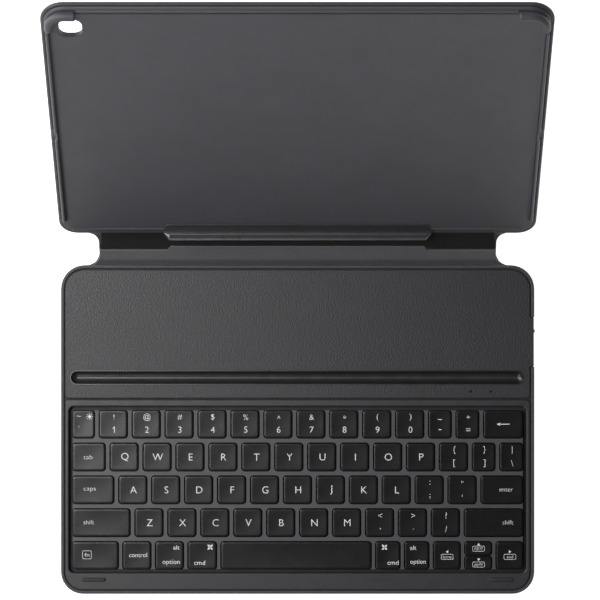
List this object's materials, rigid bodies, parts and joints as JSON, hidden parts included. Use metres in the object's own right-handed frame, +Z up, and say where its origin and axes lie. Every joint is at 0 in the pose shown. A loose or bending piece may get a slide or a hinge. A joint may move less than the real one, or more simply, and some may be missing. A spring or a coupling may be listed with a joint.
{
  "type": "tablet keyboard case",
  "caption": "Folding case for a tablet: a keyboard deck with a stand groove, a two-fold spine and a cover with a snap-in holder.",
  "frame": {"origin": "centre of the deck's underside, which lies on the table", "axes": "+Z up, +X to the typist's right, +Y away from the typist, towards the spine"},
  "size_m": [0.2578, 0.3086, 0.1584],
  "materials": {
    "cover_fabric": "fine-grained charcoal leatherette, matt",
    "panel_leatherette": "fine-grained charcoal leatherette, matt",
    "frame_plastic": "satin charcoal moulding with a light texture",
    "housing_plastic": "black moulding",
    "tray_plastic": "smooth soft-touch charcoal moulding",
    "groove_plastic": "semi-gloss black",
    "key_plastic": "matt charcoal key caps, lightly dished",
    "soft_rubber": "matt black rubber",
    "board_fibre": "pressed fibre stiffener, hidden in the laminate",
    "plate_steel": "plain steel sheet",
    "film": "printed polyester film",
    "cell_wrap": "laminated pouch",
    "circuit_green": "solder resist",
    "port_metal": "drawn steel shell",
    "light_pipe": "clear moulded light pipe",
    "legend_ink": "white printed legends"
  },
  "bodies": {
    "keyboard_deck": {"deck_cover_skin": "cover_fabric", "base_housing": "housing_plastic", "key_frame": "frame_plastic", "key_web": "frame_plastic", "stand_panel": "panel_leatherette", "groove_liner": "groove_plastic", "support_plate": "plate_steel", "circuit_membrane": "film", "rubber_domes": "soft_rubber", "battery_pack": "cell_wrap", "control_board": "circuit_green", "charging_port": "port_metal", "status_leds": "light_pipe", "screen_bumpers": "soft_rubber"},
    "spine": {"spine_skin": "cover_fabric", "spine_board": "board_fibre"},
    "lower_flap": {"lower_back_skin": "cover_fabric", "lower_back_board": "board_fibre"},
    "tablet_holder": {"upper_back_skin": "cover_fabric", "upper_back_board": "board_fibre", "tablet_tray": "tray_plastic", "bottom_lip": "groove_plastic"},
    "power_switch": {"power_switch": "housing_plastic"},
    "key_space": {"key_space": "key_plastic"},
    "key_q": {"key_q": "key_plastic"},
    "key_w": {"key_w": "key_plastic"},
    "key_e": {"key_e": "key_plastic"},
    "key_r": {"key_r": "key_plastic"},
    "key_t": {"key_t": "key_plastic"},
    "key_y": {"key_y": "key_plastic"},
    "key_u": {"key_u": "key_plastic"},
    "key_i": {"key_i": "key_plastic"},
    "key_o": {"key_o": "key_plastic"},
    "key_p": {"key_p": "key_plastic"},
    "key_a": {"key_a": "key_plastic"},
    "key_s": {"key_s": "key_plastic"},
    "key_d": {"key_d": "key_plastic"},
    "key_f": {"key_f": "key_plastic"},
    "key_g": {"key_g": "key_plastic"},
    "key_h": {"key_h": "key_plastic"},
    "key_j": {"key_j": "key_plastic"},
    "key_k": {"key_k": "key_plastic"},
    "key_l": {"key_l": "key_plastic"},
    "key_z": {"key_z": "key_plastic"},
    "key_x": {"key_x": "key_plastic"},
    "key_c": {"key_c": "key_plastic"},
    "key_v": {"key_v": "key_plastic"},
    "key_b": {"key_b": "key_plastic"},
    "key_n": {"key_n": "key_plastic"},
    "key_m": {"key_m": "key_plastic"},
    "key_tab": {"key_tab": "key_plastic"},
    "key_caps_lock": {"key_caps_lock": "key_plastic"},
    "key_shift_left": {"key_shift_left": "key_plastic"},
    "key_shift_right": {"key_shift_right": "key_plastic"},
    "key_enter": {"key_enter": "key_plastic"},
    "key_backspace": {"key_backspace": "key_plastic"},
    "number_row_keys": {"number_row_keys": "key_plastic"},
    "punctuation_keys": {"punctuation_keys": "key_plastic"},
    "function_keys": {"function_keys": "key_plastic"},
    "arrow_keys": {"arrow_keys": "key_plastic"}
  },
  "joints": [
    {"name": "spine_lower_fold", "type": "hinge", "parent": "keyboard_deck", "child": "spine", "pos_m": [0, 0.0908, 0.0011], "axis": [-1, 0, 0], "range_deg": [-57.3, 32.7]},
    {"name": "spine_upper_fold", "type": "hinge", "parent": "spine", "child": "lower_flap", "pos_m": [0, 0.10586, 0.01077], "axis": [1, 0, 0], "range_deg": [-19.2, 98.72]},
    {"name": "cover_mid_fold", "type": "hinge", "parent": "lower_flap", "child": "tablet_holder", "pos_m": [0, 0.15831, 0.07766], "axis": [-1, 0, 0], "range_deg": [0, 56.46]},
    {"name": "power_switch_slide", "type": "slide", "parent": "keyboard_deck", "child": "power_switch", "axis": [0, -1, 0], "range_m": [0, 0.002]},
    {"name": "key_space_travel", "type": "slide", "parent": "keyboard_deck", "child": "key_space", "axis": [0, 0, -1], "range_m": [0, 0.0013], "stiffness_N_per_m": 150, "springref_m": -0.0008, "deforming": ["rubber_domes"]},
    {"name": "key_q_travel", "type": "slide", "parent": "keyboard_deck", "child": "key_q", "axis": [0, 0, -1], "range_m": [0, 0.0013], "stiffness_N_per_m": 150, "springref_m": -0.0008, "deforming": ["rubber_domes"]},
    {"name": "key_w_travel", "type": "slide", "parent": "keyboard_deck", "child": "key_w", "axis": [0, 0, -1], "range_m": [0, 0.0013], "stiffness_N_per_m": 150, "springref_m": -0.0008, "deforming": ["rubber_domes"]},
    {"name": "key_e_travel", "type": "slide", "parent": "keyboard_deck", "child": "key_e", "axis": [0, 0, -1], "range_m": [0, 0.0013], "stiffness_N_per_m": 150, "springref_m": -0.0008, "deforming": ["rubber_domes"]},
    {"name": "key_r_travel", "type": "slide", "parent": "keyboard_deck", "child": "key_r", "axis": [0, 0, -1], "range_m": [0, 0.0013], "stiffness_N_per_m": 150, "springref_m": -0.0008, "deforming": ["rubber_domes"]},
    {"name": "key_t_travel", "type": "slide", "parent": "keyboard_deck", "child": "key_t", "axis": [0, 0, -1], "range_m": [0, 0.0013], "stiffness_N_per_m": 150, "springref_m": -0.0008, "deforming": ["rubber_domes"]},
    {"name": "key_y_travel", "type": "slide", "parent": "keyboard_deck", "child": "key_y", "axis": [0, 0, -1], "range_m": [0, 0.0013], "stiffness_N_per_m": 150, "springref_m": -0.0008, "deforming": ["rubber_domes"]},
    {"name": "key_u_travel", "type": "slide", "parent": "keyboard_deck", "child": "key_u", "axis": [0, 0, -1], "range_m": [0, 0.0013], "stiffness_N_per_m": 150, "springref_m": -0.0008, "deforming": ["rubber_domes"]},
    {"name": "key_i_travel", "type": "slide", "parent": "keyboard_deck", "child": "key_i", "axis": [0, 0, -1], "range_m": [0, 0.0013], "stiffness_N_per_m": 150, "springref_m": -0.0008, "deforming": ["rubber_domes"]},
    {"name": "key_o_travel", "type": "slide", "parent": "keyboard_deck", "child": "key_o", "axis": [0, 0, -1], "range_m": [0, 0.0013], "stiffness_N_per_m": 150, "springref_m": -0.0008, "deforming": ["rubber_domes"]},
    {"name": "key_p_travel", "type": "slide", "parent": "keyboard_deck", "child": "key_p", "axis": [0, 0, -1], "range_m": [0, 0.0013], "stiffness_N_per_m": 150, "springref_m": -0.0008, "deforming": ["rubber_domes"]},
    {"name": "key_a_travel", "type": "slide", "parent": "keyboard_deck", "child": "key_a", "axis": [0, 0, -1], "range_m": [0, 0.0013], "stiffness_N_per_m": 150, "springref_m": -0.0008, "deforming": ["rubber_domes"]},
    {"name": "key_s_travel", "type": "slide", "parent": "keyboard_deck", "child": "key_s", "axis": [0, 0, -1], "range_m": [0, 0.0013], "stiffness_N_per_m": 150, "springref_m": -0.0008, "deforming": ["rubber_domes"]},
    {"name": "key_d_travel", "type": "slide", "parent": "keyboard_deck", "child": "key_d", "axis": [0, 0, -1], "range_m": [0, 0.0013], "stiffness_N_per_m": 150, "springref_m": -0.0008, "deforming": ["rubber_domes"]},
    {"name": "key_f_travel", "type": "slide", "parent": "keyboard_deck", "child": "key_f", "axis": [0, 0, -1], "range_m": [0, 0.0013], "stiffness_N_per_m": 150, "springref_m": -0.0008, "deforming": ["rubber_domes"]},
    {"name": "key_g_travel", "type": "slide", "parent": "keyboard_deck", "child": "key_g", "axis": [0, 0, -1], "range_m": [0, 0.0013], "stiffness_N_per_m": 150, "springref_m": -0.0008, "deforming": ["rubber_domes"]},
    {"name": "key_h_travel", "type": "slide", "parent": "keyboard_deck", "child": "key_h", "axis": [0, 0, -1], "range_m": [0, 0.0013], "stiffness_N_per_m": 150, "springref_m": -0.0008, "deforming": ["rubber_domes"]},
    {"name": "key_j_travel", "type": "slide", "parent": "keyboard_deck", "child": "key_j", "axis": [0, 0, -1], "range_m": [0, 0.0013], "stiffness_N_per_m": 150, "springref_m": -0.0008, "deforming": ["rubber_domes"]},
    {"name": "key_k_travel", "type": "slide", "parent": "keyboard_deck", "child": "key_k", "axis": [0, 0, -1], "range_m": [0, 0.0013], "stiffness_N_per_m": 150, "springref_m": -0.0008, "deforming": ["rubber_domes"]},
    {"name": "key_l_travel", "type": "slide", "parent": "keyboard_deck", "child": "key_l", "axis": [0, 0, -1], "range_m": [0, 0.0013], "stiffness_N_per_m": 150, "springref_m": -0.0008, "deforming": ["rubber_domes"]},
    {"name": "key_z_travel", "type": "slide", "parent": "keyboard_deck", "child": "key_z", "axis": [0, 0, -1], "range_m": [0, 0.0013], "stiffness_N_per_m": 150, "springref_m": -0.0008, "deforming": ["rubber_domes"]},
    {"name": "key_x_travel", "type": "slide", "parent": "keyboard_deck", "child": "key_x", "axis": [0, 0, -1], "range_m": [0, 0.0013], "stiffness_N_per_m": 150, "springref_m": -0.0008, "deforming": ["rubber_domes"]},
    {"name": "key_c_travel", "type": "slide", "parent": "keyboard_deck", "child": "key_c", "axis": [0, 0, -1], "range_m": [0, 0.0013], "stiffness_N_per_m": 150, "springref_m": -0.0008, "deforming": ["rubber_domes"]},
    {"name": "key_v_travel", "type": "slide", "parent": "keyboard_deck", "child": "key_v", "axis": [0, 0, -1], "range_m": [0, 0.0013], "stiffness_N_per_m": 150, "springref_m": -0.0008, "deforming": ["rubber_domes"]},
    {"name": "key_b_travel", "type": "slide", "parent": "keyboard_deck", "child": "key_b", "axis": [0, 0, -1], "range_m": [0, 0.0013], "stiffness_N_per_m": 150, "springref_m": -0.0008, "deforming": ["rubber_domes"]},
    {"name": "key_n_travel", "type": "slide", "parent": "keyboard_deck", "child": "key_n", "axis": [0, 0, -1], "range_m": [0, 0.0013], "stiffness_N_per_m": 150, "springref_m": -0.0008, "deforming": ["rubber_domes"]},
    {"name": "key_m_travel", "type": "slide", "parent": "keyboard_deck", "child": "key_m", "axis": [0, 0, -1], "range_m": [0, 0.0013], "stiffness_N_per_m": 150, "springref_m": -0.0008, "deforming": ["rubber_domes"]},
    {"name": "key_tab_travel", "type": "slide", "parent": "keyboard_deck", "child": "key_tab", "axis": [0, 0, -1], "range_m": [0, 0.0013], "stiffness_N_per_m": 150, "springref_m": -0.0008, "deforming": ["rubber_domes"]},
    {"name": "key_caps_lock_travel", "type": "slide", "parent": "keyboard_deck", "child": "key_caps_lock", "axis": [0, 0, -1], "range_m": [0, 0.0013], "stiffness_N_per_m": 150, "springref_m": -0.0008, "deforming": ["rubber_domes"]},
    {"name": "key_shift_left_travel", "type": "slide", "parent": "keyboard_deck", "child": "key_shift_left", "axis": [0, 0, -1], "range_m": [0, 0.0013], "stiffness_N_per_m": 150, "springref_m": -0.0008, "deforming": ["rubber_domes"]},
    {"name": "key_shift_right_travel", "type": "slide", "parent": "keyboard_deck", "child": "key_shift_right", "axis": [0, 0, -1], "range_m": [0, 0.0013], "stiffness_N_per_m": 150, "springref_m": -0.0008, "deforming": ["rubber_domes"]},
    {"name": "key_enter_travel", "type": "slide", "parent": "keyboard_deck", "child": "key_enter", "axis": [0, 0, -1], "range_m": [0, 0.0013], "stiffness_N_per_m": 150, "springref_m": -0.0008, "deforming": ["rubber_domes"]},
    {"name": "key_backspace_travel", "type": "slide", "parent": "keyboard_deck", "child": "key_backspace", "axis": [0, 0, -1], "range_m": [0, 0.0013], "stiffness_N_per_m": 150, "springref_m": -0.0008, "deforming": ["rubber_domes"]},
    {"name": "number_row_keys_travel", "type": "slide", "parent": "keyboard_deck", "child": "number_row_keys", "axis": [0, 0, -1], "range_m": [0, 0.0013], "stiffness_N_per_m": 1950, "springref_m": -0.0008, "deforming": ["rubber_domes"]},
    {"name": "punctuation_keys_travel", "type": "slide", "parent": "keyboard_deck", "child": "punctuation_keys", "axis": [0, 0, -1], "range_m": [0, 0.0013], "stiffness_N_per_m": 1200, "springref_m": -0.0008, "deforming": ["rubber_domes"]},
    {"name": "function_keys_travel", "type": "slide", "parent": "keyboard_deck", "child": "function_keys", "axis": [0, 0, -1], "range_m": [0, 0.0013], "stiffness_N_per_m": 900, "springref_m": -0.0008, "deforming": ["rubber_domes"]},
    {"name": "arrow_keys_travel", "type": "slide", "parent": "keyboard_deck", "child": "arrow_keys", "axis": [0, 0, -1], "range_m": [0, 0.0013], "stiffness_N_per_m": 600, "springref_m": -0.0008, "deforming": ["rubber_domes"]}
  ]
}
